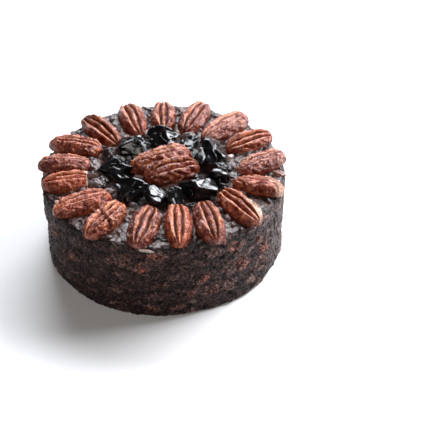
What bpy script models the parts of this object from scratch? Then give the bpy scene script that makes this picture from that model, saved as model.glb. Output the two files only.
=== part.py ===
"""A small round chocolate fruit cake, turned out of its tin and decorated.

The cake is one solid with an uneven tin-pressed wall. Pecan halves lie on it like spokes,
prunes make a ring inside them, and two more pecan halves lie side by side at the centre.
Every topping sits in its own seat, pressed into the top of the cake.
The origin is the middle of the base, +Z is up and the front of the cake faces -Y.
"""

import math
from typing import NamedTuple

import bmesh
import bpy
from mathutils import Matrix, Vector, noise

MM = 0.001

# The cake
CAKE_RADIUS = 75.8 * MM
CAKE_HEIGHT = 52 * MM
EDGE_ROUND = 1.8 * MM
WALL_UNEVEN = 0.7 * MM
WALL_LUMP = 11 * MM
CAKE_SIDES = 64
WALL_ROWS = 5

# Toppings
SEAT_SPARE = 1.1
RING_DOME = 7.2 * MM
CENTRE_DOME = 11.2 * MM
PECAN_BELLY = 2.4 * MM
PECAN_SINK = 2.1 * MM
PECAN_GROOVE = 0.36
PRUNE_SINK = 3.4 * MM
PRUNE_FOLD = 0.26


class Pecan(NamedTuple):
    """How the baker laid one half kernel: angles in degrees, lengths in millimetres."""

    nudge: float  # how far past its even place in the ring, anticlockwise
    reach: float  # from the cake's axis to the middle of the nut
    turn: float  # from pointing straight outwards, anticlockwise
    lean: float  # rolled about its own length
    length: float
    width: float


class Prune(NamedTuple):
    """How one prune lies: angles in degrees, lengths in millimetres."""

    bearing: float
    reach: float
    turn: float
    length: float
    width: float
    height: float


# From the right-hand side of the cake, anticlockwise.
RING = (
    Pecan(1, 61, 28, -8, 34.5, 16.5),
    Pecan(3, 60.5, 4, 6, 32, 15.5),
    Pecan(4, 59, -3, -6, 39, 18),
    Pecan(5, 58.5, -4, 8, 36, 17),
    Pecan(4, 57, 1, 0, 33, 16.5),
    Pecan(3, 57.5, -3, -5, 35.5, 17),
    Pecan(5, 58, -6, -16, 39, 15.5),
    Pecan(6, 61, 9, 6, 35.5, 17),
    Pecan(4, 61.5, 3, 12, 33.5, 16),
    Pecan(0, 61, -7, -4, 31, 16),
    Pecan(2, 58.5, -13, 4, 36.5, 17.5),
    Pecan(1, 60, 1, -4, 34, 16),
    Pecan(3, 57, -3, 8, 35, 17.5),
    Pecan(2, 56.5, -7, 0, 35.5, 16.6),
    Pecan(-2, 59, -14, -5, 37, 16.8),
    Pecan(-1, 60, -13, 7, 36, 17),
    Pecan(-1, 60.5, 3, -18, 33, 15),
)

# (x, y, direction of its length, lean, length, width) of the two halves at the centre
CENTRE_PAIR = (
    (-1.8, 6.6, 17, -22, 39, 15),
    (3.8, -6.8, 19, 22, 38, 15),
)

# From the right-hand side of the cake, anticlockwise.
PRUNES = (
    Prune(22, 32, 70, 22.5, 18.5, 13),
    Prune(56, 29.5, 20, 13, 10.5, 9.5),
    Prune(88, 32, 88, 18.5, 14, 12),
    Prune(127, 28.5, 60, 19, 16.5, 12),
    Prune(151, 36.5, 75, 13.5, 10, 9.5),
    Prune(181, 29, 8, 19, 14.5, 11.5),
    Prune(225, 29.5, 95, 21, 17, 12.5),
    Prune(258, 30, 80, 11.5, 12, 11),
    Prune(280, 31, 100, 11, 12, 11),
    Prune(311, 31, 70, 19, 17.5, 13),
    Prune(336, 35, 100, 10, 12.5, 11),
    Prune(353, 34.5, 80, 10, 13, 11),
)


def material(name, colour, roughness):
    """A plain non-metallic finish."""
    made = bpy.data.materials.new(name)
    made.use_nodes = True
    shader = made.node_tree.nodes["Principled BSDF"]
    shader.inputs["Base Color"].default_value = (*colour, 1)
    shader.inputs["Roughness"].default_value = roughness
    shader.inputs["Metallic"].default_value = 0
    return made


def add_object(name, form, collection, finish=None):
    """Turns a bmesh into a named object and frees it."""
    bmesh.ops.triangulate(form, faces=form.faces)
    mesh = bpy.data.meshes.new(name)
    form.to_mesh(mesh)
    form.free()
    if finish:
        mesh.materials.append(finish)
        mesh.shade_smooth()
        mesh.set_sharp_from_angle(angle=math.radians(40))
    made = bpy.data.objects.new(name, mesh)
    collection.objects.link(made)
    return made


def ball(segments, rings):
    """A unit ball whose poles lie on the X axis."""
    form = bmesh.new()
    bmesh.ops.create_uvsphere(form, u_segments=segments, v_segments=rings, radius=1)
    bmesh.ops.rotate(form, verts=form.verts, matrix=Matrix.Rotation(math.pi / 2, 3, "Y"))
    return form


def add_topping(name, forms, half, location, angles, collections, finish):
    """Adds a topping, and a cutter a little larger all round for its seat.

    forms holds the topping and its plainer seat, each inside a unit ball that half stretches.
    """
    topping, seat = forms
    bmesh.ops.scale(topping, verts=topping.verts, vec=half)
    bmesh.ops.scale(seat, verts=seat.verts, vec=half * SEAT_SPARE)
    parts, cutters = collections
    hollow = add_object("seat_" + name, seat, cutters)
    hollow.hide_render = True
    hollow.display_type = "WIRE"
    for made in (add_object(name, topping, parts, finish), hollow):
        made.location = location
        made.rotation_euler = angles


def pecan_form(segments, rings, belly):
    """A half kernel inside a unit ball, its flat side down.

    Two grooves run the whole length, and leave a narrow ridge between two rounded lobes.
    """
    form = ball(segments, rings)
    for vertex in form.verts:
        along, across, up = vertex.co
        girth = math.hypot(across, up)
        if girth < 1e-6:
            continue
        across /= girth
        up /= girth
        plan = math.sqrt(1 - abs(along) ** 2.5) * (1 - 0.1 * along)
        vertex.co.y = across * plan
        if up < 0:
            vertex.co.z = up * belly * plan
        else:
            groove = PECAN_GROOVE * math.exp(-(((abs(across) - 0.38) / 0.17) ** 2))
            vertex.co.z = (up**0.8 - groove) * plan**0.8
    return form


def add_pecan(name, collections, finish, x, y, heading, lean, length, width, dome):
    """A half kernel, flat side down, pressed into the top of the cake. Angles are in radians."""
    belly = PECAN_BELLY / dome
    forms = pecan_form(16, 7, belly), pecan_form(10, 7, belly)
    half = Vector((length / 2, width / 2, dome))
    middle = CAKE_HEIGHT - PECAN_SINK + PECAN_BELLY
    add_topping(name, forms, half, (x, y, middle), (lean, 0, heading), collections, finish)


def prune_form(segments, rings, seed):
    """A prune inside a unit ball: the skin has shrunk into a few broad, sharp folds."""
    form = ball(segments, rings)
    for vertex in form.verts:
        ridge = 1 - 2 * abs(noise.noise(vertex.co * 1.3 + Vector((seed * 7.1, seed * 3.7, 0))))
        vertex.co *= 1 - PRUNE_FOLD + PRUNE_FOLD * ridge
    return form


def add_prune(name, collections, finish, lie, seed):
    """A prune, pressed into the top of the cake."""
    forms = prune_form(12, 7, seed), ball(8, 5)
    half = Vector((lie.length, lie.width, lie.height)) * MM / 2
    bearing = math.radians(lie.bearing)
    reach = lie.reach * MM
    location = (reach * math.cos(bearing), reach * math.sin(bearing), CAKE_HEIGHT - PRUNE_SINK + half.z)
    angles = (0, 0, bearing + math.radians(lie.turn))
    add_topping(name, forms, half, location, angles, collections, finish)


def cake_body(collection, finish):
    """The turned-out cake: a drum whose wall keeps the uneven print of the fruit pressed against the tin."""
    form = bmesh.new()
    bmesh.ops.create_cone(
        form, cap_ends=True, segments=CAKE_SIDES, radius1=CAKE_RADIUS, radius2=CAKE_RADIUS, depth=CAKE_HEIGHT
    )
    bmesh.ops.translate(form, verts=form.verts, vec=(0, 0, CAKE_HEIGHT / 2))
    upright = [e for e in form.edges if abs(e.verts[0].co.z - e.verts[1].co.z) > CAKE_HEIGHT / 2]
    bmesh.ops.subdivide_edges(form, edges=upright, cuts=WALL_ROWS - 1)
    for vertex in form.verts:
        lump = noise.noise(vertex.co / WALL_LUMP)
        scale = 1 + WALL_UNEVEN * (lump - 0.5) / CAKE_RADIUS
        vertex.co.x *= scale
        vertex.co.y *= scale
    body = add_object("cake", form, collection, finish)
    edge = body.modifiers.new("edge", "BEVEL")
    edge.width = EDGE_ROUND
    edge.segments = 2
    edge.limit_method = "ANGLE"
    edge.angle_limit = math.radians(60)
    return body


def press_seats(body, cutters):
    """Cuts the toppings' seats into the top of the cake."""
    cut = body.modifiers.new("seats", "BOOLEAN")
    cut.operation = "DIFFERENCE"
    cut.solver = "EXACT"
    cut.operand_type = "COLLECTION"
    cut.collection = cutters


def lay_ring(collections, finish):
    """The spokes of pecan halves."""
    for number, lie in enumerate(RING):
        bearing = math.radians(360 / len(RING) * number + lie.nudge)
        add_pecan(
            f"pecan_{number + 1:02d}",
            collections,
            finish,
            x=lie.reach * MM * math.cos(bearing),
            y=lie.reach * MM * math.sin(bearing),
            heading=bearing + math.radians(lie.turn),
            lean=math.radians(lie.lean),
            length=lie.length * MM,
            width=lie.width * MM,
            dome=RING_DOME,
        )


def lay_centre(collections, finish):
    """The pair of pecan halves at the centre."""
    for number, (x, y, heading, lean, length, width) in enumerate(CENTRE_PAIR):
        add_pecan(
            f"pecan_centre_{number + 1}",
            collections,
            finish,
            x=x * MM,
            y=y * MM,
            heading=math.radians(heading),
            lean=math.radians(lean),
            length=length * MM,
            width=width * MM,
            dome=CENTRE_DOME,
        )


def lay_prunes(collections, finish):
    """The ring of prunes between the spokes and the centre."""
    for number, lie in enumerate(PRUNES):
        add_prune(f"prune_{number + 1:02d}", collections, finish, lie, seed=number)


def new_collection(name):
    made = bpy.data.collections.new(name)
    bpy.context.scene.collection.children.link(made)
    return made


def build():
    for old in list(bpy.data.objects):
        bpy.data.objects.remove(old)
    parts = new_collection("chocolate_fruit_cake")
    cutters = new_collection("cutters")
    cutters.hide_render = True
    nut_finish = material("pecan", (0.28, 0.075, 0.03), 0.4)
    lay_ring((parts, cutters), nut_finish)
    lay_centre((parts, cutters), nut_finish)
    lay_prunes((parts, cutters), material("prune", (0.008, 0.006, 0.008), 0.15))
    press_seats(cake_body(parts, material("cake", (0.035, 0.018, 0.014), 0.55)), cutters)


build()
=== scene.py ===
"""A small round chocolate fruit cake with pecan halves and prunes on top.

The pieces come in the order in which the cake is put together: the baked cake, its sticky top,
the pecans, the prunes, and last the raisins and scraps. The studio is at the end.
"""

import math
import random
from typing import NamedTuple

import bpy
import numpy as np
from mathutils import Euler, Matrix, Vector, noise
from mathutils.bvhtree import BVHTree


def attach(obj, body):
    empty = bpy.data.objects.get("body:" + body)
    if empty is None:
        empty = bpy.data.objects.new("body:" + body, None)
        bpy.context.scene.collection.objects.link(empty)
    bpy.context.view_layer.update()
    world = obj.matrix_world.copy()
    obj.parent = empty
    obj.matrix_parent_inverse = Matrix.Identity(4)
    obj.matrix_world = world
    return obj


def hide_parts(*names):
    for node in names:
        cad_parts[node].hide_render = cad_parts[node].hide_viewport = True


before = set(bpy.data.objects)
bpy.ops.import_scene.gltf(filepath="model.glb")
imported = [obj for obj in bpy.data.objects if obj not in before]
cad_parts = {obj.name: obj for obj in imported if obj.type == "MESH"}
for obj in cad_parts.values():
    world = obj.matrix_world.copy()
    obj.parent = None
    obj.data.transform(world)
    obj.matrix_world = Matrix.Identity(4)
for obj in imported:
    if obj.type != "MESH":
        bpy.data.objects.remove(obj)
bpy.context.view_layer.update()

# ---------------------------------------------------------------------------
# The baked cake: a dense drum of dark chocolate crumb and chopped dried fruit.
# The tin has pressed the fruit flat against the wall, wrinkled and smeared, and
# the lower rim is a little rounded and ragged where it left the tin.
# ---------------------------------------------------------------------------
MM = 0.001
CAKE_RADIUS = 75.2 * MM
CAKE_HEIGHT = 52 * MM
RIM_ROUND = 1.6 * MM
TOP_RIM_IN = 1.2  # millimetres that the upper rim is rounded in
WALL_SIDES = 880
WALL_ROWS = 96
SAME_POINT = 0.01 * MM  # points closer than this become one
WALL_FRUIT = Vector((1 / 11, 1 / 11, 1 / 7)) / MM
WALL_CHIPS = Vector((1 / 4.6, 1 / 4.6, 1 / 2.9)) / MM
WARP_SIZE = 5 * MM  # how long the bends are in the outlines of the pieces
CELL_SPREAD = 37.7  # puts neighbouring fruit in cells of their own
NOISE_SEED = 3
# (bearing, height, half width, half height) of the pieces of red fruit in the wall
RED_FRUIT = ((263, 47, 9, 2.6), (302, 44, 7, 5), (305, 30, 4, 5), (262, 7, 6, 2.5), (268, 26, 3, 1.6))


def start_piece():
    """Leaves edit mode and clears the selection, ready for a new primitive."""
    if bpy.context.mode != "OBJECT":
        bpy.ops.object.mode_set(mode="OBJECT")
    bpy.ops.object.select_all(action="DESELECT")


def apply_all(piece):
    """Applies a piece's modifiers, in order."""
    bpy.context.view_layer.objects.active = piece
    for modifier in list(piece.modifiers):
        bpy.ops.object.modifier_apply(modifier=modifier.name)


def points_of(mesh):
    """The mesh's points as an array of rows."""
    flat = np.empty(len(mesh.vertices) * 3)
    mesh.vertices.foreach_get("co", flat)
    return flat.reshape(-1, 3)


def set_points(mesh, points):
    """Moves the mesh's points to these rows."""
    mesh.vertices.foreach_set("co", np.ascontiguousarray(points, dtype=float).ravel())
    mesh.update()


def add_value(mesh, name, values):
    """Stores a number on each point, for the material to read."""
    attribute = mesh.attributes.new(name, "FLOAT", "POINT")
    attribute.data.foreach_set("value", np.ascontiguousarray(values, dtype=float))


def smooth_noise(points, size, seed):
    """Smooth random heights from -1 to 1, in lumps of about this size: one number, or one for each axis."""
    scaled = points / np.array(size) + np.array([seed * 3.17, seed * 1.73, seed * 2.39])
    return np.array([noise.noise(Vector(p)) for p in scaled])


def crinkle(points, size, seed):
    """Sharp crests from 0 in the hollows to 1 on the crests, in lumps of about this size."""
    return 1 - np.abs(smooth_noise(points, size, seed)) * 2


def step(values, start, end):
    """Goes smoothly from 0 at start to 1 at end."""
    t = np.clip((values - start) / (end - start), 0, 1)
    return t * t * (3 - 2 * t)


def packed_pieces(points, size, warp):
    """Packed chopped pieces: how far within its own piece each point is, and that piece's random number."""
    depth = np.empty(len(points))
    own = np.empty(len(points))
    for index, point in enumerate(points):
        place = Vector(point)
        place += warp * noise.noise_vector(place / WARP_SIZE)
        gaps, centres = noise.voronoi(Vector(map(float.__mul__, place, size)))
        depth[index] = gaps[1] - gaps[0]
        own[index] = noise.cell(centres[0] * CELL_SPREAD)
    return depth, own


def turned(name, profile, sides):
    """A closed body turned from a profile of (radius, height) points, its first and last on the axis."""
    profile = list(profile)
    mesh = bpy.data.meshes.new(name)
    mesh.from_pydata([(r, 0, z) for r, z in profile], [(n, n + 1) for n in range(len(profile) - 1)], [])
    body = bpy.data.objects.new(name, mesh)
    bpy.context.scene.collection.objects.link(body)
    spin = body.modifiers.new("spin", "SCREW")
    spin.steps = sides
    spin.render_steps = sides
    spin.use_merge_vertices = True
    spin.merge_threshold = SAME_POINT
    apply_all(body)
    return body


noise.seed_set(NOISE_SEED)  # noise_vector is random until it is seeded

start_piece()
rows = [CAKE_RADIUS * share for share in (0, 0.5, 0.9)]
wall_profile = [(r, 0) for r in rows]
wall_profile += [(CAKE_RADIUS, CAKE_HEIGHT * row / WALL_ROWS) for row in range(WALL_ROWS + 1)]
wall_profile += [(r, CAKE_HEIGHT) for r in reversed(rows)]
cake = turned("baked_cake", reversed(wall_profile), WALL_SIDES)

wall = points_of(cake.data)
from_axis = np.hypot(wall[:, 0], wall[:, 1])
on_wall = step(from_axis, CAKE_RADIUS * 0.9, CAKE_RADIUS * 0.99)
around = wall[:, :2] / np.maximum(from_axis, MM)[:, None]
big, kind = packed_pieces(wall, WALL_FRUIT, 3.2 * MM)
small, chip = packed_pieces(wall, WALL_CHIPS, 1.6 * MM)
pressed = 1 - np.exp(-big / 0.16)
pebbled = 1 - np.exp(-small / 0.16)
smear = crinkle(wall, [3.4 * MM, 3.4 * MM, 1.5 * MM], 2)
smear *= step(smooth_noise(wall, 12 * MM, 5), -0.3, 0.25)
pits = step(smooth_noise(wall, 2.4 * MM, 8), 0.34, 0.55)
relief = (
    0.9 * (pressed - 0.8)
    + 0.55 * (kind - 0.5) * pressed
    + 0.5 * (pebbled - 0.7)
    + 0.45 * (chip - 0.5) * pebbled
    + 0.32 * (smear - 0.4)
    + 0.16 * smooth_noise(wall, 1.1 * MM, 3)
    + 0.9 * smooth_noise(wall, 21 * MM, 1)
    - 1.2 * pits
)
above_base = wall[:, 2] + 0.35 * MM * smooth_noise(wall, 4 * MM, 9)
under_top = CAKE_HEIGHT - wall[:, 2]
relief -= RIM_ROUND / MM * (1 - np.sqrt(np.clip(above_base / RIM_ROUND, 0, 1)))
relief -= TOP_RIM_IN * (1 - np.sqrt(np.clip(under_top / RIM_ROUND, 0, 1)))
wall[:, :2] += around * (relief * on_wall * MM)[:, None]
set_points(cake.data, wall)
# Painted shade: the creases between the pressed pieces and the pits are darkened through this mask.
add_value(cake.data, "painted_crease_shade", np.minimum(pressed, 0.35 + 0.65 * pebbled) * (1 - 0.95 * pits))
kind = 0.6 * kind + 0.4 * chip
for degrees, height, span, tall in RED_FRUIT:
    bearing = np.arctan2(wall[:, 1], wall[:, 0]) - math.radians(degrees)
    sideways = np.sin(bearing / 2) * 2 * CAKE_RADIUS / (span * MM)
    away = np.hypot(sideways, (wall[:, 2] - height * MM) / (tall * MM))
    kind += (0.86 - kind) * step(away + 0.6 * smooth_noise(wall, 3 * MM, 14), 1.1, 0.6)
add_value(cake.data, "kind", kind)
cake.data.shade_smooth()


def new_material(name, coat, coat_roughness, specular):
    """A finish with nothing linked yet. Gives back the material, its nodes, its links and its shader."""
    made = bpy.data.materials.new(name)
    made.use_nodes = True
    nodes = made.node_tree.nodes
    shader = nodes["Principled BSDF"]
    shader.inputs["Coat Weight"].default_value = coat
    shader.inputs["Coat Roughness"].default_value = coat_roughness
    shader.inputs["Specular IOR Level"].default_value = specular
    return made, nodes, made.node_tree.links, shader


def read_value(nodes, name):
    """The number that each point carries under this name."""
    node = nodes.new("ShaderNodeAttribute")
    node.attribute_name = name
    return node.outputs["Fac"]


def ramp(nodes, links, source, *stops):
    """A colour ramp: each stop is its position and its colour."""
    node = nodes.new("ShaderNodeValToRGB")
    elements = node.color_ramp.elements
    while len(elements) < len(stops):
        elements.new(0.5)
    for element, (position, colour) in zip(elements, stops):
        element.position = position
        element.color = (*colour, 1)
    links.new(source, node.inputs["Fac"])
    return node.outputs["Color"]


def mix(nodes, links, kind_of_mix, factor, first, second):
    """Mixes two colours. Each input is a socket or a plain value."""
    node = nodes.new("ShaderNodeMix")
    node.data_type = "RGBA"
    node.blend_type = kind_of_mix
    for socket, value in ((node.inputs[0], factor), (node.inputs[6], first), (node.inputs[7], second)):
        if isinstance(value, bpy.types.NodeSocket):
            links.new(value, socket)
        else:
            socket.default_value = (*value, 1) if isinstance(value, tuple) else value
    return node.outputs[2]


def speckle_group():
    """Skin and crumb texture: a speckled mask and a height for bump, both from Object coordinates."""
    group = bpy.data.node_groups.new("speckle", "ShaderNodeTree")
    for name, start in (("Vector", None), ("Scale", 400), ("Broadness", 0.5)):
        kind_of_socket = "NodeSocketFloat" if start else "NodeSocketVector"
        socket = group.interface.new_socket(name, in_out="INPUT", socket_type=kind_of_socket)
        if start:
            socket.default_value = start
    group.interface.new_socket("Mask", in_out="OUTPUT", socket_type="NodeSocketFloat")
    group.interface.new_socket("Height", in_out="OUTPUT", socket_type="NodeSocketFloat")
    nodes = group.nodes
    links = group.links
    given = nodes.new("NodeGroupInput")
    fine = nodes.new("ShaderNodeTexNoise")
    fine.inputs["Detail"].default_value = 6
    fine.inputs["Roughness"].default_value = 0.62
    broad = nodes.new("ShaderNodeTexNoise")
    broad.inputs["Detail"].default_value = 3
    slow = nodes.new("ShaderNodeMath")
    slow.operation = "MULTIPLY"
    blend = nodes.new("ShaderNodeMix")
    out = nodes.new("NodeGroupOutput")
    links.new(given.outputs["Vector"], fine.inputs["Vector"])
    links.new(given.outputs["Scale"], fine.inputs["Scale"])
    links.new(given.outputs["Vector"], broad.inputs["Vector"])
    links.new(given.outputs["Scale"], slow.inputs[0])
    slow.inputs[1].default_value = 0.22  # a blotch is as wide as four or five speckles
    links.new(slow.outputs[0], broad.inputs["Scale"])
    links.new(given.outputs["Broadness"], blend.inputs[0])
    links.new(fine.outputs["Fac"], blend.inputs[2])
    links.new(broad.outputs["Fac"], blend.inputs[3])
    links.new(blend.outputs[0], out.inputs["Mask"])
    links.new(fine.outputs["Fac"], out.inputs["Height"])
    return group


SPECKLE = speckle_group()


def speckle(nodes, links, scale, broadness):
    """Places the speckle group: speckles per metre, then 0, fine, to 1, blotchy. Gives mask and height."""
    node = nodes.new("ShaderNodeGroup")
    node.node_tree = SPECKLE
    coordinates = nodes.new("ShaderNodeTexCoord")
    links.new(coordinates.outputs["Object"], node.inputs["Vector"])
    node.inputs["Scale"].default_value = scale
    node.inputs["Broadness"].default_value = broadness
    return node.outputs["Mask"], node.outputs["Height"]


def add_bump(nodes, links, shader, height, distance):
    """Raises the skin, and the glaze on it, by a height that varies over the surface."""
    node = nodes.new("ShaderNodeBump")
    node.inputs["Distance"].default_value = distance
    links.new(height, node.inputs["Height"])
    links.new(node.outputs["Normal"], shader.inputs["Normal"])
    links.new(node.outputs["Normal"], shader.inputs["Coat Normal"])


def cake_finish():
    """Dark, moist crumb with painted shade that makes the creases and pits nearly black, a few pieces redder,
    small sticky glints.
    """
    made, nodes, links, shader = new_material(
        "chocolate_fruit_crumb", coat=0.1, coat_roughness=0.2, specular=0.15
    )
    mask, height = speckle(nodes, links, 800, 0.18)
    fruit = ramp(
        nodes, links, read_value(nodes, "kind"),
        (0.0, (0.030, 0.0165, 0.014)), (0.3, (0.059, 0.035, 0.030)), (0.5, (0.104, 0.066, 0.058)),
        (0.65, (0.056, 0.028, 0.023)), (0.78, (0.097, 0.040, 0.029)), (0.95, (0.142, 0.049, 0.032)),
    )
    mottled = mix(nodes, links, "MULTIPLY", 1, fruit, ramp(
        nodes, links, mask, (0.42, (0.15, 0.12, 0.12)), (0.5, (1.0, 0.93, 0.93)), (0.6, (4.1, 3.65, 3.6)),
    ))
    # Painted shade: the creases and pits are darkened nearly to black.
    colour = mix(nodes, links, "MULTIPLY", 1, mottled, ramp(
        nodes, links, read_value(nodes, "painted_crease_shade"), (0.05, (0.12, 0.09, 0.09)), (0.7, (1, 1, 1)),
    ))
    links.new(colour, shader.inputs["Base Color"])
    links.new(ramp(nodes, links, mask, (0.35, (0.6,) * 3), (0.68, (0.28,) * 3)), shader.inputs["Roughness"])
    add_bump(nodes, links, shader, height, 2 * MM)
    return made


cake.data.materials.append(cake_finish())
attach(cake, "root")
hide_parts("cake")

# ---------------------------------------------------------------------------
# The sticky top: chopped raisins and crumb set in fruit glaze, which the nuts
# are pressed into. It is lumpy, with wet pools of glaze between the lumps.
# ---------------------------------------------------------------------------
TOP_RADIUS = 74 * MM
TOP_GRAIN = 0.66 * MM
TOP_DEPTH = 3 * MM
TOP_FRUIT = Vector((1 / 7.5, 1 / 7.5, 1 / 9)) / MM
TOP_CHIPS = Vector((1 / 3.2, 1 / 3.2, 1 / 4)) / MM
TOP_SIDES = 256

start_piece()
bpy.ops.mesh.primitive_cylinder_add(
    vertices=TOP_SIDES, radius=TOP_RADIUS, depth=TOP_DEPTH, location=(0, 0, CAKE_HEIGHT - TOP_DEPTH / 2)
)
topping = bpy.context.active_object
topping.name = "sticky_top"
bpy.ops.object.transform_apply(location=True)
grain = topping.modifiers.new("grain", "REMESH")
grain.mode = "VOXEL"
grain.voxel_size = TOP_GRAIN
apply_all(topping)

layer = points_of(topping.data)
reach = np.hypot(layer[:, 0], layer[:, 1])
upper = step(layer[:, 2], CAKE_HEIGHT - 1.6 * MM, CAKE_HEIGHT - 0.3 * MM)
big, kind = packed_pieces(layer * [1, 1, 0.2], TOP_FRUIT, 2.6 * MM)
small, chip = packed_pieces(layer * [1, 1, 0.2], TOP_CHIPS, 1.2 * MM)
lumpy = 1 - np.exp(-big / 0.17)
pebbled = 1 - np.exp(-small / 0.2)
wet = step(0.5 - kind + 0.6 * smooth_noise(layer, 14 * MM, 4), 0.05, 0.3)
folds = crinkle(layer * [1, 1, 0.3], [2.6 * MM, 2.6 * MM, 2.6 * MM], 6)
rise = (
    0.9
    + 2.0 * (lumpy - 0.55) * (0.35 + kind) * (1 - 0.65 * wet)
    + 0.9 * (pebbled - 0.6) * (0.3 + chip) * (1 - 0.55 * wet)
    + 0.8 * (folds - 0.5) * (1 - 0.15 * wet)
    + 0.8 * smooth_noise(layer, 9 * MM, 7)
    + 0.14 * smooth_noise(layer, 1.2 * MM, 3)
)
rise -= 0.9 * step(reach, 70 * MM, 75 * MM) + 1.0 * step(-np.abs(reach - 31 * MM), -14 * MM, -6 * MM)
layer[:, 2] += upper * rise * MM
edge = step(reach, 71.5 * MM, 74 * MM)
outward = layer[:, :2] / np.maximum(reach, 1e-6)[:, None]
ragged = 1.1 * smooth_noise(layer, 5 * MM, 11) + 0.7 * (lumpy - 0.7)
layer[:, :2] += outward * (edge * ragged * MM)[:, None]
set_points(topping.data, layer)
add_value(topping.data, "wet", wet * (1 - edge))
add_value(topping.data, "kind", 0.55 * kind + 0.45 * chip)
# Painted shade: the layer is darkened at its rim and in the ring where the prunes sit, and below in the
# creases between the lumps.
shaded = np.maximum(0.6 * edge, 0.85 * step(-np.abs(reach - 29 * MM), -13 * MM, -8 * MM))
raised = np.maximum(np.minimum(lumpy, 0.3 + 0.7 * pebbled), wet * (0.5 + 0.5 * pebbled))
add_value(topping.data, "painted_crease_shade", raised * (1 - shaded))
topping.data.shade_smooth()


def sticky_finish():
    """Brown-black fruit under glaze: rougher on the lumps, smoother in the pools, dull in the creases, with
    painted shade in the creases, at the rim and in the ring of prunes.
    """
    made, nodes, links, shader = new_material("glazed_fruit", coat=0.75, coat_roughness=0.12, specular=0.15)
    mask, height = speckle(nodes, links, 900, 0.4)
    fruit = ramp(
        nodes, links, read_value(nodes, "kind"),
        (0.0, (0.014, 0.006, 0.005)), (0.4, (0.045, 0.020, 0.015)), (0.6, (0.115, 0.060, 0.048)),
        (0.75, (0.04, 0.018, 0.014)), (0.9, (0.13, 0.05, 0.032)),
    )
    mottled = mix(nodes, links, "MULTIPLY", 1, fruit, ramp(
        nodes, links, mask, (0.4, (0.3, 0.25, 0.25)), (0.5, (1, 0.95, 0.95)), (0.62, (2.2, 2.0, 2.0)),
    ))
    # Painted shade: the creases, the rim and the ring of prunes are darkened.
    crease_shaded = mix(nodes, links, "MULTIPLY", 1, mottled, ramp(
        nodes, links, read_value(nodes, "painted_crease_shade"), (0.1, (0.1, 0.06, 0.06)), (0.75, (1, 1, 1)),
    ))
    links.new(mix(nodes, links, "MULTIPLY", 1, ramp(
        nodes, links, read_value(nodes, "painted_crease_shade"), (0.2, (0.05,) * 3), (0.7, (0.8,) * 3),
    ), ramp(nodes, links, mask, (0.4, (0.2,) * 3), (0.54, (1,) * 3))), shader.inputs["Coat Weight"])
    # The wet pools get their own colour, with the same painted shade on it.
    colour = mix(nodes, links, "MIX", ramp(
        nodes, links, read_value(nodes, "wet"), (0.2, (0, 0, 0)), (1.0, (0.6,) * 3),
    ), crease_shaded, mix(nodes, links, "MULTIPLY", 1, (0.125, 0.062, 0.050), read_value(nodes, "painted_crease_shade")))
    links.new(colour, shader.inputs["Base Color"])
    links.new(ramp(nodes, links, read_value(nodes, "wet"), (0.0, (0.42,) * 3), (1.0, (0.2,) * 3)),
              shader.inputs["Roughness"])
    add_bump(nodes, links, shader, height, 0.4 * MM)
    return made


topping.data.materials.append(sticky_finish())
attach(topping, "root")

# ---------------------------------------------------------------------------
# The pecan halves: seventeen lie like spokes and two side by side at the
# centre. Each has two rounded lobes, a narrow ridge between two deep grooves,
# and a thin red-brown skin under a brushed-on glaze.
# ---------------------------------------------------------------------------
PECAN_BELLY = 2.4 * MM
PECAN_SINK = 1.6 * MM
RING_DOME = 7.4 * MM
CENTRE_DOME = 10.2 * MM
CENTRE_WRINKLE = 1.5
CENTRE_SEED = 31
PECAN_SIDES = 112
PECAN_RINGS = 74


class Pecan(NamedTuple):
    """How the baker laid one half kernel: angles in degrees, lengths in millimetres."""

    nudge: float  # how far past its even place in the ring, anticlockwise
    reach: float  # from the cake's axis to the middle of the nut
    turn: float  # from pointing straight outwards, anticlockwise
    lean: float  # rolled about its own length
    length: float
    width: float
    taper: float  # how much narrower the outer end is, as a share of the width
    curl: float  # how far the nut bends sideways, as a share of the width
    wrinkle: float  # how deep its cross wrinkles are, 1 for a usual nut
    tone: float  # from 0 for a dark red skin to 1 for an orange one
    split: float = 0  # 1 where the inner half has cracked off and slipped
    broken: float = -1  # where its inner end is snapped off, -1 for a whole nut
    chip: float = 0  # 1 where the left of the outer end is chipped down to the pale flesh
    pale_tip: float = 0  # 1 where the skin is rubbed off the outer end


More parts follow.
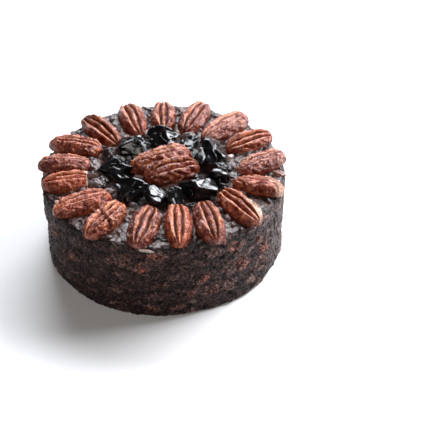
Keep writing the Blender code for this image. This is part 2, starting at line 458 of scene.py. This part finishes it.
# From the right-hand side of the cake, anticlockwise.
RING = (
    Pecan(1, 61, 28, -8, 35, 16.5, -0.05, 0.10, 1.0, 0.35),
    Pecan(3.6, 60.5, 0, 19, 33.5, 16, 0.05, -0.05, 1.0, 0.65),
    Pecan(3.4, 59, -3, -6, 40, 18.8, 0.0, 0.08, 0.8, 0.5),
    Pecan(5, 58.5, -4, 8, 36, 17, 0.0, 0.0, 0.8, 0.1),
    Pecan(4, 57, 1, 0, 33, 16.5, 0.08, 0.0, 0.8, 0.35),
    Pecan(3, 57.5, -3, -5, 35.5, 17, -0.08, 0.0, 0.9, 0.5),
    Pecan(5, 58, -6, -16, 39, 15.5, -0.05, 0.08, 1.0, 0.45),
    Pecan(6, 61, 9, 6, 35.5, 17, 0.10, 0.06, 1.3, 0.6),
    Pecan(4, 61.5, 3, 12, 33.5, 16, 0.0, 0.0, 1.0, 0.5),
    Pecan(0, 59.5, -7, 0, 31, 16, 0.10, 0.0, 1.0, 1.0, broken=-0.78),
    Pecan(2, 58.5, -13, 4, 36.5, 17.5, 0.10, 0.06, 1.0, 0.85),
    Pecan(1, 60, 1, -4, 34, 16, 0.0, -0.05, 2.0, 0.6, split=1),
    Pecan(3, 57, -3, -10, 35, 17.5, 0.0, 0.0, 1.0, 0.0),
    Pecan(2, 56.5, -7, 0, 35.5, 16.6, 0.10, 0.0, 0.7, 0.8),
    Pecan(-2, 59, -14, -5, 37, 16.8, -0.08, 0.03, 0.7, 0.3),
    Pecan(-1, 60, -13, 7, 36, 17, 0.0, 0.0, 0.8, 0.65, chip=1),
    Pecan(-1, 60.5, 3, -18, 33, 15, -0.1, -0.16, 1.2, 0.8, pale_tip=1),
)

# The two halves at the centre: x, y, the direction of its length, lean, length, width, taper, curl, tone
CENTRE_PAIR = (
    (-1.6, 6.0, 17, -6, 41, 19, -0.22, 0.10, 0.55),
    (4.4, -4.8, 20, 16, 37, 17.5, 0.05, -0.06, 0.2),
)


def shape_kernel(unit, seed, lie, belly):
    """Where points of a unit ball, poles along X, go on a half kernel.

    Also gives, for each point, how much painted shade and painted highlight the skin gets there, and how bare
    it is.
    """
    along = np.clip(unit[:, 0], -1, 1)
    girth = np.hypot(unit[:, 1], unit[:, 2])
    on_side = girth > 1e-5
    across = unit[:, 1] / np.maximum(girth, 1e-6) * on_side
    up = unit[:, 2] / np.maximum(girth, 1e-6) * on_side
    side = np.abs(across)
    hand = np.sign(across)
    plan = (1 - np.abs(along) ** 2.6) ** 0.5 * (1 - lie.taper * along)
    wander = 0.09 * smooth_noise(np.stack([along, 0 * along, 0 * along], axis=1), 0.5, seed) * hand
    rough = smooth_noise(unit, 0.42, seed)
    pocked = smooth_noise(unit * [2.2, 1, 1], 0.17, seed + 40)
    fine = smooth_noise(unit * [2.2, 1, 1], 0.075, seed + 80)
    fade = 1 - np.abs(along) ** 18
    uneven_strength = 0.75 + 0.5 * smooth_noise(np.stack([along, hand, 0 * along], axis=1), 0.35, seed + 60)
    from_groove = np.abs(side - 0.27 + wander)
    valley = np.exp(-from_groove / 0.085) * fade
    # Painted shade: a dark line along each groove, stronger in some places than in others.
    painted_groove_shade = np.exp(-((from_groove / 0.06) ** 2)) * fade * uneven_strength
    shoulder = np.exp(-(((side - 0.42 + wander) / 0.07) ** 2)) * fade * uneven_strength
    spine = np.exp(-(((across + wander * hand) / 0.09) ** 2)) * fade
    seam = np.exp(-(((across + wander * hand) / 0.035) ** 2)) * fade * step(rough, -0.1, 0.3)
    lobe = step(side, 0.38, 0.58)
    sweep = along * 5.2 + side * 1.6 * hand + rough * 2.2 + seed
    ripple = np.sin(sweep * math.pi) * (0.6 + 0.4 * np.sin(sweep * 2.3 + seed))
    ticks = np.sin(sweep * 4.1 * math.pi) * step(smooth_noise(unit, 0.5, seed + 20), -0.2, 0.3)
    slipped = lie.split * step(along - 0.25 * across, 0.1, 0.0)
    crack = lie.split * np.exp(-(((along - 0.25 * across - 0.05) / 0.03) ** 2))
    height = np.abs(up) ** 0.72 - 0.46 * valley + 0.13 * np.exp(-(((side - 0.55) / 0.2) ** 2)) * fade
    height += 0.03 * spine - 0.07 * seam + 0.14 * slipped - 0.16 * crack
    height += (
        (lie.wrinkle * 0.045 * ripple + 0.02 * ticks) * lobe
        + 0.10 * rough
        + 0.055 * pocked
        + 0.045 * lie.wrinkle * fine
    )
    top = up >= 0
    z = np.where(top, height * plan**0.7, up * belly * plan)
    flank = step(up, -0.05, 0.3)
    bulge = 0.06 * lie.wrinkle * ripple * lobe + 0.09 * rough + 0.04 * pocked
    y = across * plan * (1 + flank * bulge)
    y += lie.curl * (along**2 - 0.35) + 0.12 * slipped
    tip = lie.pale_tip * step(along + 0.35 * across + 0.3 * rough, 0.4, 0.6)
    along = np.maximum(along, lie.broken)
    bare = step(-along, -lie.broken - 0.03, -lie.broken) * (lie.broken > -1)
    chipped = lie.chip * step(across, 0.42, 0.55) * step(along, -0.25, 0.0) * step(up, 0.1, 0.3)
    z = np.where(top, np.minimum(z, z * (1 - chipped) + 0.42 * chipped * plan), z)
    bare = np.maximum(np.maximum(bare, chipped), 0.75 * tip)
    # Painted shade in the grooves, the seam and the crack, and on the outer flanks where the nut curves down.
    dark = np.maximum(np.maximum(painted_groove_shade, 0.6 * seam), 0.7 * crack)
    dark = np.maximum(dark, 0.36 * step(side, 0.72, 1.0))
    # Painted highlight: lighter colour on the shoulders beside the grooves, along the ridge and on the raised
    # wrinkles and pocks.
    painted_crest_highlight = (
        0.9 * shoulder
        + 0.4 * (spine - seam)
        + 0.4 * ripple * lobe
        + 0.3 * ticks * lobe
        + 0.8 * pocked
        + 0.25 * slipped
    )
    return np.stack([along, y, z], axis=1), dark * top, np.clip(painted_crest_highlight, 0, 1) * top, bare


def add_pecan(name, node, seed, lie, x, y, heading, dome):
    """One half kernel, in its place on the cake."""
    start_piece()
    bpy.ops.mesh.primitive_uv_sphere_add(
        segments=PECAN_SIDES, ring_count=PECAN_RINGS, radius=1, rotation=(0, math.pi / 2, 0)
    )
    nut = bpy.context.active_object
    nut.name = name
    bpy.ops.object.transform_apply(rotation=True)
    shaped, painted_groove_shade, painted_crest_highlight, bare = shape_kernel(points_of(nut.data), seed, lie, PECAN_BELLY / dome)
    set_points(nut.data, shaped * [lie.length / 2 * MM, lie.width / 2 * MM, dome])
    # The painted shade and painted highlight masks are stored for the material to read.
    add_value(nut.data, "painted_groove_shade", painted_groove_shade)
    add_value(nut.data, "painted_crest_highlight", painted_crest_highlight)
    add_value(nut.data, "bare", bare)
    add_value(nut.data, "tone", np.full(len(bare), lie.tone))
    place = Vector((x, y, CAKE_HEIGHT - PECAN_SINK + PECAN_BELLY))
    turn = Euler((math.radians(lie.lean), 0, heading)).to_matrix().to_4x4()
    nut.data.transform(Matrix.Translation(place) @ turn)
    nut.data.shade_smooth()
    nut.data.materials.append(PECAN_FINISH)
    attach(nut, "root")
    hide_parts(node)


def pecan_finish():
    """Red-brown skin under a thin glaze, with painted shade that makes the grooves nearly black and a painted
    orange highlight on the crests.
    """
    made, nodes, links, shader = new_material("pecan_skin", coat=1, coat_roughness=0.13, specular=0.12)
    mask, height = speckle(nodes, links, 900, 0.45)
    skin = ramp(
        nodes, links, mask,
        (0.38, (0.022, 0.002, 0.001)), (0.47, (0.14, 0.015, 0.004)), (0.54, (0.27, 0.038, 0.008)),
        (0.62, (0.46, 0.108, 0.027)),
    )
    skin = mix(nodes, links, "MULTIPLY", 1, skin, ramp(
        nodes, links, read_value(nodes, "tone"),
        (0.0, (0.72, 0.5, 0.6)), (0.5, (1, 1, 1)), (1.0, (1.5, 1.45, 1.0)),
    ))
    # Painted highlight: the crests are lightened to orange.
    highlighted_skin = mix(nodes, links, "MIX", ramp(
        nodes, links, read_value(nodes, "painted_crest_highlight"), (0.15, (0,) * 3), (0.8, (0.8,) * 3),
    ), skin, (0.60, 0.21, 0.08))
    # Painted shade: the grooves, the seam, the crack and the outer flanks are darkened nearly to black.
    dark = mix(nodes, links, "MULTIPLY", 1, highlighted_skin, ramp(
        nodes, links, read_value(nodes, "painted_groove_shade"), (0.12, (1, 1, 1)), (0.7, (0.06, 0.02, 0.015)),
    ))
    links.new(mix(nodes, links, "MULTIPLY", 1, ramp(
        nodes, links, read_value(nodes, "painted_groove_shade"), (0.2, (1,) * 3), (0.7, (0.08,) * 3),
    ), ramp(nodes, links, mask, (0.44, (0.08,) * 3), (0.56, (1,) * 3))), shader.inputs["Coat Weight"])
    shader.inputs["Coat IOR"].default_value = 1.75
    flesh = nodes.new("ShaderNodeMath")
    flesh.operation = "MULTIPLY"
    links.new(read_value(nodes, "bare"), flesh.inputs[0])
    links.new(ramp(nodes, links, mask, (0.42, (0.35,) * 3), (0.54, (1,) * 3)), flesh.inputs[1])
    colour = mix(nodes, links, "MIX", flesh.outputs[0], dark, (0.56, 0.34, 0.23))
    links.new(colour, shader.inputs["Base Color"])
    links.new(ramp(nodes, links, mask, (0.4, (0.55,) * 3), (0.6, (0.26,) * 3)), shader.inputs["Roughness"])
    add_bump(nodes, links, shader, height, 0.9 * MM)
    return made


PECAN_FINISH = pecan_finish()
for number, lie in enumerate(RING):
    bearing = math.radians(360 / len(RING) * number + lie.nudge)
    add_pecan(
        f"pecan_half_{number + 1:02d}",
        f"pecan_{number + 1:02d}",
        number,
        lie,
        lie.reach * MM * math.cos(bearing),
        lie.reach * MM * math.sin(bearing),
        bearing + math.radians(lie.turn),
        RING_DOME,
    )
for number, (x, y, heading, lean, length, width, taper, curl, tone) in enumerate(CENTRE_PAIR):
    add_pecan(
        f"pecan_middle_{number + 1}",
        f"pecan_centre_{number + 1}",
        CENTRE_SEED + number,
        Pecan(0, 0, 0, lean, length, width, taper, curl, CENTRE_WRINKLE, tone),
        x * MM,
        y * MM,
        math.radians(heading),
        CENTRE_DOME,
    )

# ---------------------------------------------------------------------------
# The prunes: twelve black, syrup-glossy fruits in a ring round the centre.
# Their skins have dried into flat facets with sharp folds between them.
# ---------------------------------------------------------------------------
PRUNE_SINK = 3.4 * MM
PRUNE_PLUMP = 1.18
PRUNE_SEED = 100
FACET_TRIES = 160
FACET_APART = 0.45  # cosine of the least angle between two facets
CREST_SHARPNESS = 60


class Prune(NamedTuple):
    """How one prune lies: angles in degrees, lengths in millimetres."""

    bearing: float
    reach: float
    turn: float
    length: float
    width: float
    height: float
    dull: float = 0  # 1 for a dried raisin with no syrup on it


# From the right-hand side of the cake, anticlockwise.
PRUNES = (
    Prune(22, 32, 70, 22.5, 18.5, 13),
    Prune(56, 29.5, 20, 13, 10.5, 9.5),
    Prune(88, 32, 268, 18.5, 14, 12),
    Prune(127, 28.5, 60, 19, 16.5, 12),
    Prune(151, 36.5, 75, 13.5, 10, 9.5, dull=1),
    Prune(181, 29, 8, 19, 14.5, 11.5),
    Prune(225, 29.5, 95, 21, 17, 12.5),
    Prune(258, 30, 350, 11.5, 12, 11),
    Prune(280, 31, 190, 11, 12, 11),
    Prune(311, 31, 70, 19, 17.5, 13),
    Prune(336, 35, 100, 10, 12.5, 11),
    Prune(353, 34.5, 80, 10, 13, 11),
)


def facet_directions(chance):
    """Six or seven directions spread over a ball, none close to another."""
    facets = []
    for _ in range(FACET_TRIES):
        facet = np.array([chance.gauss(0, 1), chance.gauss(0, 1), chance.gauss(0, 1)])
        facet /= np.linalg.norm(facet)
        if all(facet @ other < FACET_APART for other in facets):
            facets.append(facet)
    return facets


def shape_prune(unit, seed):
    """A ball cut by hollow facets that meet in narrow crests, then pinched along a long fold."""
    chance = random.Random(PRUNE_SEED + seed)
    parts = np.zeros(len(unit))
    warped = unit + 0.16 * np.stack([smooth_noise(unit, 0.9, seed + n) for n in range(3)], axis=1)
    for facet in facet_directions(chance):
        facing = np.maximum(warped @ facet, 0.1)
        parts += np.exp(-CREST_SHARPNESS * chance.uniform(0.68, 0.92) * (1 - 0.09 * facing**6) / facing)
    reach = -np.log(parts) / CREST_SHARPNESS
    reach /= np.quantile(reach, 0.85)
    fold = np.abs(smooth_noise(unit, 1.25, seed + 3))
    reach *= 1 - 0.34 * np.exp(-((fold / 0.05) ** 2))
    return unit * np.clip(reach, 0, 1.12)[:, None]


def add_prune(number, lie):
    """One prune, in its place on the cake."""
    start_piece()
    bpy.ops.mesh.primitive_ico_sphere_add(subdivisions=5, radius=1)
    fruit = bpy.context.active_object
    fruit.name = f"prune_fruit_{number + 1:02d}"
    half = np.array([lie.length, lie.width, lie.height]) * MM / 2 * PRUNE_PLUMP
    set_points(fruit.data, shape_prune(points_of(fruit.data), number) * half)
    bearing = math.radians(lie.bearing)
    place = Vector((lie.reach * MM * math.cos(bearing), lie.reach * MM * math.sin(bearing), 0))
    place.z = CAKE_HEIGHT - PRUNE_SINK + half[2]
    turn = Matrix.Rotation(bearing + math.radians(lie.turn), 4, "Z")
    fruit.data.transform(Matrix.Translation(place) @ turn)
    add_value(fruit.data, "dull", np.full(len(fruit.data.vertices), lie.dull))
    fruit.data.shade_smooth()
    fruit.data.materials.append(PRUNE_FINISH)
    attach(fruit, "root")
    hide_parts(f"prune_{number + 1:02d}")


def prune_finish():
    """Black skin under clear syrup, or greyish brown and dull where a fruit has none."""
    made, nodes, links, shader = new_material("prune_skin", coat=0.9, coat_roughness=0.1, specular=0.1)
    mask, height = speckle(nodes, links, 500, 0.5)
    dull = read_value(nodes, "dull")
    black = ramp(nodes, links, mask, (0.4, (0.0012, 0.0012, 0.0015)), (0.6, (0.006, 0.005, 0.006)))
    grey = ramp(nodes, links, mask, (0.42, (0.014, 0.009, 0.009)), (0.58, (0.10, 0.068, 0.066)))
    links.new(mix(nodes, links, "MIX", dull, black, grey), shader.inputs["Base Color"])
    links.new(ramp(nodes, links, dull, (0, (0.9,) * 3), (1, (0.25,) * 3)), shader.inputs["Coat Weight"])
    links.new(ramp(nodes, links, mask, (0.4, (0.2,) * 3), (0.6, (0.4,) * 3)), shader.inputs["Roughness"])
    add_bump(nodes, links, shader, height, 0.12 * MM)
    return made


PRUNE_FINISH = prune_finish()
for number, lie in enumerate(PRUNES):
    add_prune(number, lie)

# ---------------------------------------------------------------------------
# The bits on top: shrivelled raisins and torn scraps of fruit that stick out
# of the glaze between the nuts, dull and greyish where the glaze has dried.
# ---------------------------------------------------------------------------
SCRAP_LONG = 6 * MM
SCRAP_SEED = 5
LARGE_SCRAP = 1.25  # from this size up a scrap has more faces
GAP_REACHES = (43, 48, 53, 58, 63, 68, 71.5)
RING_SCRAPS = 60
LEFT_RAISINS = 14
PRUNE_EDGE_SCRAPS = 26
# (bearing, reach, size, shade) of the larger raisins, and of a few lighter scraps among them
RAISINS = (
    (172, 43, 1.7, 0.5), (183, 41, 1.5, 0.48), (199, 44, 1.6, 0.5), (206, 41, 1.3, 0.55), (64, 38, 1.4, 0.65),
    (208, 17, 1.1, 0.75), (353, 71, 1.35, 0.84), (276, 36, 1.0, 0.8),
)

SLIVER_PLACE = (-12.3 * MM, -72.9 * MM)
SLIVER_SLIM = 0.36
SLIVER_HEADING = math.radians(-17)

top_surface = BVHTree.FromPolygons(
    [v.co.copy() for v in topping.data.vertices], [tuple(f.vertices) for f in topping.data.polygons]
)


def add_scrap(number, x, y, size, shade, chance, slim=1, heading=None):
    """One raisin or scrap, folded along sharp crests and half sunk in the layer under it."""
    start_piece()
    bpy.ops.mesh.primitive_ico_sphere_add(subdivisions=4 if size > LARGE_SCRAP else 3, radius=1)
    scrap = bpy.context.active_object
    unit = points_of(scrap.data)
    fold = np.abs(smooth_noise(unit, [1.5, 0.62, 0.62], number))
    reach = 0.72 + 0.5 * step(fold, 0.0, 0.28) - 0.25 * step(fold, 0.3, 0.6)
    reach += 0.16 * smooth_noise(unit, 0.4, number + 9)
    shares = np.array([0.5, slim * chance.uniform(0.25, 0.4), slim * chance.uniform(0.16, 0.3)])
    half = shares * SCRAP_LONG * size
    set_points(scrap.data, unit * reach[:, None] * half)
    turn = Euler((chance.uniform(-0.8, 0.8), chance.uniform(-0.5, 0.5), chance.uniform(0, math.tau)))
    if heading is not None:
        turn = Euler((0, 0, heading))
    hit = top_surface.ray_cast(Vector((x, y, 0.1)), Vector((0, 0, -1)))[0]
    ground = hit or Vector((x, y, CAKE_HEIGHT))
    place = (x, y, ground.z + chance.uniform(-0.2, 0.6) * half[2])
    scrap.data.transform(Matrix.Translation(place) @ turn.to_matrix().to_4x4())
    add_value(scrap.data, "kind", np.full(len(unit), shade))
    scrap.data.shade_smooth()
    return scrap


def scrap_finish():
    """One shade to each scrap, from black through greyish brown and red to a pale one, under a wet film."""
    made, nodes, links, shader = new_material("scrap_skin", coat=0.7, coat_roughness=0.14, specular=0.3)
    mask, height = speckle(nodes, links, 900, 0.5)
    shade = ramp(
        nodes, links, read_value(nodes, "kind"),
        (0.0, (0.008, 0.006, 0.007)), (0.4, (0.03, 0.018, 0.017)), (0.7, (0.14, 0.09, 0.085)),
        (0.86, (0.14, 0.05, 0.03)), (0.97, (0.6, 0.5, 0.44)),
    )
    links.new(mix(nodes, links, "MULTIPLY", 1, shade, ramp(
        nodes, links, mask, (0.34, (0.45, 0.42, 0.42)), (0.66, (1.7, 1.6, 1.6)),
    )), shader.inputs["Base Color"])
    shader.inputs["Roughness"].default_value = 0.38
    add_bump(nodes, links, shader, height, 0.5 * MM)
    return made


def join_pieces(name, pieces):
    """Makes one object of several."""
    start_piece()
    for piece in pieces:
        piece.select_set(True)
    bpy.context.view_layer.objects.active = pieces[0]
    bpy.ops.object.join()
    whole = bpy.context.active_object
    whole.name = name
    return whole


def scatter_scraps():
    """Scraps between the spokes, and closer together in the ring of prunes."""
    chance = random.Random(SCRAP_SEED)
    spots = []
    for number in range(len(RING)):
        middle = math.radians(360 / len(RING) * (number + 0.5) + 2.5)
        for reach_mm in GAP_REACHES:
            away = (reach_mm + chance.uniform(-2, 2)) * MM
            bearing = middle + chance.uniform(-0.09, 0.09)
            spots.append((bearing, away, chance.uniform(0.45, 1.0), chance.random()))
    for _ in range(RING_SCRAPS):
        bearing = chance.uniform(0, math.tau)
        away = chance.uniform(20, 40) * MM
        spots.append((bearing, away, chance.uniform(0.8, 1.5), chance.uniform(0, 0.3)))
    for _ in range(LEFT_RAISINS):
        bearing = chance.uniform(2.2, 3.8)
        away = chance.uniform(36, 43) * MM
        spots.append((bearing, away, chance.uniform(0.9, 1.4), chance.uniform(0.6, 0.85)))
    for degrees, reach_mm, size, shade in RAISINS:
        spots.append((math.radians(degrees), reach_mm * MM, size, shade))
    for _ in range(PRUNE_EDGE_SCRAPS):
        bearing = chance.uniform(0, math.tau)
        away = chance.uniform(37, 45) * MM
        spots.append((bearing, away, chance.uniform(0.7, 1.1), 0.7))
    scraps = [
        add_scrap(n, away * math.cos(bearing), away * math.sin(bearing), size, shade, chance)
        for n, (bearing, away, size, shade) in enumerate(spots)
    ]
    # One long pale sliver of nut lies along the rim at the front.
    scraps.append(add_scrap(len(spots), *SLIVER_PLACE, 1.45, 1.0, chance, SLIVER_SLIM, SLIVER_HEADING))
    return scraps


scraps = join_pieces("fruit_scraps", scatter_scraps())
scraps.data.materials.append(scrap_finish())
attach(scraps, "root")

# ---------------------------------------------------------------------------
# The studio: a pale floor, soft window light from behind on the right, and
# the camera in front, looking down on the cake.
# ---------------------------------------------------------------------------
FLOOR_DROP = 0.2 * MM
FLOOR_SIZE = 2
LIT_POINT = Vector((0, 0, 0.03))
ROOM_LIGHT = 0.04
ROOM_SEEN = 0.75
CAMERA_LENS = 85.2
CAMERA_PLACE = Vector((0, -0.511, 0.4288))
CAMERA_AIM = Vector((0.0319, -0.0157, 0.027))


def plain_finish(name, colour, roughness):
    made = bpy.data.materials.new(name)
    made.use_nodes = True
    shader = made.node_tree.nodes["Principled BSDF"]
    shader.inputs["Base Color"].default_value = (*colour, 1)
    shader.inputs["Roughness"].default_value = roughness
    return made


def soft_light(name, place, size, power, colour):
    """A square soft box that looks at the middle of the cake."""
    data = bpy.data.lights.new(name, "AREA")
    data.shape = "SQUARE"
    data.size = size
    data.energy = power
    data.color = colour
    light = bpy.data.objects.new(name, data)
    light.location = place
    light.rotation_euler = (LIT_POINT - Vector(place)).to_track_quat("-Z", "Y").to_euler()
    bpy.context.scene.collection.objects.link(light)


start_piece()
bpy.ops.mesh.primitive_plane_add(size=FLOOR_SIZE, location=(0, 0, -FLOOR_DROP))
floor = bpy.context.active_object
floor.name = "floor"
floor.data.materials.append(plain_finish("floor", (0.84, 0.84, 0.84), 0.6))

soft_light("window", (0.85, 0.4, 0.62), 0.75, 34, (0.93, 0.95, 1.0))
soft_light("back_window", (0.1, 0.9, 0.78), 0.8, 23, (0.90, 0.94, 1.0))
soft_light("front_fill", (-0.1, -1.1, 0.9), 0.7, 6, (1.0, 0.94, 0.88))

# The room is nearly dark, so that the cake keeps its deep shadows, but past the floor it is seen pale.
world = bpy.data.worlds.new("studio")
world.use_nodes = True
room = world.node_tree.nodes["Background"]
room.inputs["Color"].default_value = (0.95, 0.96, 1, 1)
seen = world.node_tree.nodes.new("ShaderNodeLightPath")
glow = world.node_tree.nodes.new("ShaderNodeMath")
glow.operation = "MULTIPLY_ADD"
glow.inputs[1].default_value = ROOM_SEEN
glow.inputs[2].default_value = ROOM_LIGHT
world.node_tree.links.new(seen.outputs["Is Camera Ray"], glow.inputs[0])
world.node_tree.links.new(glow.outputs[0], room.inputs["Strength"])
bpy.context.scene.world = world
bpy.context.scene.view_settings.view_transform = "Standard"

camera_data = bpy.data.cameras.new("camera")
camera_data.lens = CAMERA_LENS
camera = bpy.data.objects.new("camera", camera_data)
camera.location = CAMERA_PLACE
camera.rotation_euler = (CAMERA_AIM - CAMERA_PLACE).to_track_quat("-Z", "Y").to_euler()
bpy.context.scene.collection.objects.link(camera)
bpy.context.scene.camera = camera
